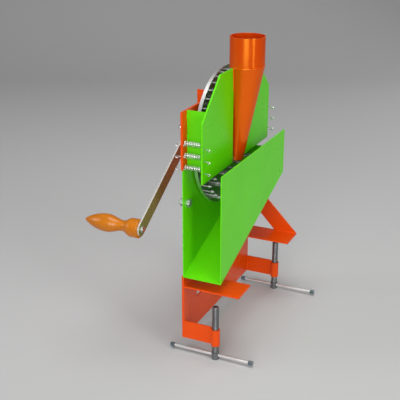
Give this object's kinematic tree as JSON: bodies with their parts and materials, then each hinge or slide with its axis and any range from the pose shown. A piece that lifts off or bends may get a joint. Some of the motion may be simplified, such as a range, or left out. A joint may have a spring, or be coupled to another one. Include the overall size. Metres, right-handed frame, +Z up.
{
  "type": "manual corn sheller",
  "caption": "Table-clamped hand-cranked corn sheller: toothed steel disc, spring-loaded plate with feed hopper, sloping chute, two screw clamps.",
  "frame": {"origin": "midway between the two clamps, in the plane of the shelves' undersides and of the carrying plate's feed side, where the top edge of the table lies", "axes": "+Z up; the hopper and the chute's front are on -Y, the crank on +Y; +X points to the chute's closed high end, -X to its outlet"},
  "size_m": [0.3724, 0.3172, 0.5508],
  "materials": {
    "orange_paint": "gloss",
    "green_paint": "gloss",
    "bare_steel": "satin",
    "polished_steel": "gloss",
    "zinc_steel": "satin",
    "chrome_steel": "gloss",
    "bronze": "satin",
    "varnished_wood": "gloss"
  },
  "bodies": {
    "stand": {"frame_plate": "orange_paint", "bearing_channel": "orange_paint", "front_bearing": "bronze", "rear_bearing": "bronze", "near_shelf": "orange_paint", "far_shelf": "orange_paint", "near_arm": "orange_paint", "far_arm": "orange_paint", "near_boss": "orange_paint", "far_boss": "orange_paint", "far_brace": "orange_paint", "chute_back": "green_paint", "chute_front": "green_paint", "chute_floor": "green_paint", "chute_end": "green_paint", "near_shield": "green_paint", "far_shield": "green_paint", "chute_bolts": "zinc_steel", "chute_nuts": "zinc_steel", "near_springs": "chrome_steel", "far_springs": "chrome_steel"},
    "rotor": {"shelling_disc": "bare_steel", "disc_hub": "bare_steel", "hub_screws": "zinc_steel", "crank_shaft": "bare_steel", "shaft_spacer": "bare_steel", "crank_arm": "polished_steel", "crank_washer": "zinc_steel", "crank_nut": "chrome_steel"},
    "handle": {"handle_grip": "varnished_wood", "handle_pin": "chrome_steel", "pin_washer": "zinc_steel"},
    "presser": {"near_press_plate": "green_paint", "far_press_plate": "green_paint", "hopper_tube": "orange_paint", "hopper_cone": "orange_paint"},
    "near_spindle": {"near_screw": "chrome_steel"},
    "near_head": {"near_screw_head": "zinc_steel"},
    "near_bar": {"near_tommy_bar": "chrome_steel", "near_bar_caps": "zinc_steel"},
    "far_spindle": {"far_screw": "chrome_steel"},
    "far_head": {"far_screw_head": "zinc_steel"},
    "far_bar": {"far_tommy_bar": "chrome_steel", "far_bar_caps": "zinc_steel"}
  },
  "joints": [
    {"name": "crank_spin", "type": "hinge", "parent": "stand", "child": "rotor", "pos_m": [0, 0, 0.2431], "axis": [0, 1, 0], "continuous": true},
    {"name": "handle_spin", "type": "hinge", "parent": "rotor", "child": "handle", "pos_m": [-0.19644, 0, 0.11892], "axis": [0, 1, 0], "continuous": true},
    {"name": "plate_slide", "type": "slide", "parent": "stand", "child": "presser", "axis": [0, -1, 0], "range_m": [0, 0.018], "stiffness_N_per_m": 1500, "springref_m": -0.01, "deforming": ["near_springs", "far_springs"]},
    {"name": "near_screw_travel", "type": "slide", "parent": "stand", "child": "near_spindle", "axis": [0, 0, 1], "range_m": [-0.038, 0.0135]},
    {"name": "near_screw_turn", "type": "hinge", "parent": "near_spindle", "child": "near_head", "pos_m": [-0.1515, -0.061, -0.1289], "axis": [0, 0, 1], "range_deg": [-7825, 2785]},
    {"name": "near_bar_slide", "type": "slide", "parent": "near_head", "child": "near_bar", "axis": [0, 1, 0], "range_m": [-0.0729, 0.0561]},
    {"name": "far_screw_travel", "type": "slide", "parent": "stand", "child": "far_spindle", "axis": [0, 0, 1], "range_m": [-0.038, 0.0135]},
    {"name": "far_screw_turn", "type": "hinge", "parent": "far_spindle", "child": "far_head", "pos_m": [0.1515, -0.061, -0.1289], "axis": [0, 0, 1], "range_deg": [-7825, 2785]},
    {"name": "far_bar_slide", "type": "slide", "parent": "far_head", "child": "far_bar", "axis": [0, 1, 0], "range_m": [-0.0571, 0.0719]}
  ],
  "couplings": [
    {"joint": "near_screw_turn", "follows": "near_screw_travel", "rad_per_m": 3590.4},
    {"joint": "far_screw_turn", "follows": "far_screw_travel", "rad_per_m": 3590.4}
  ]
}
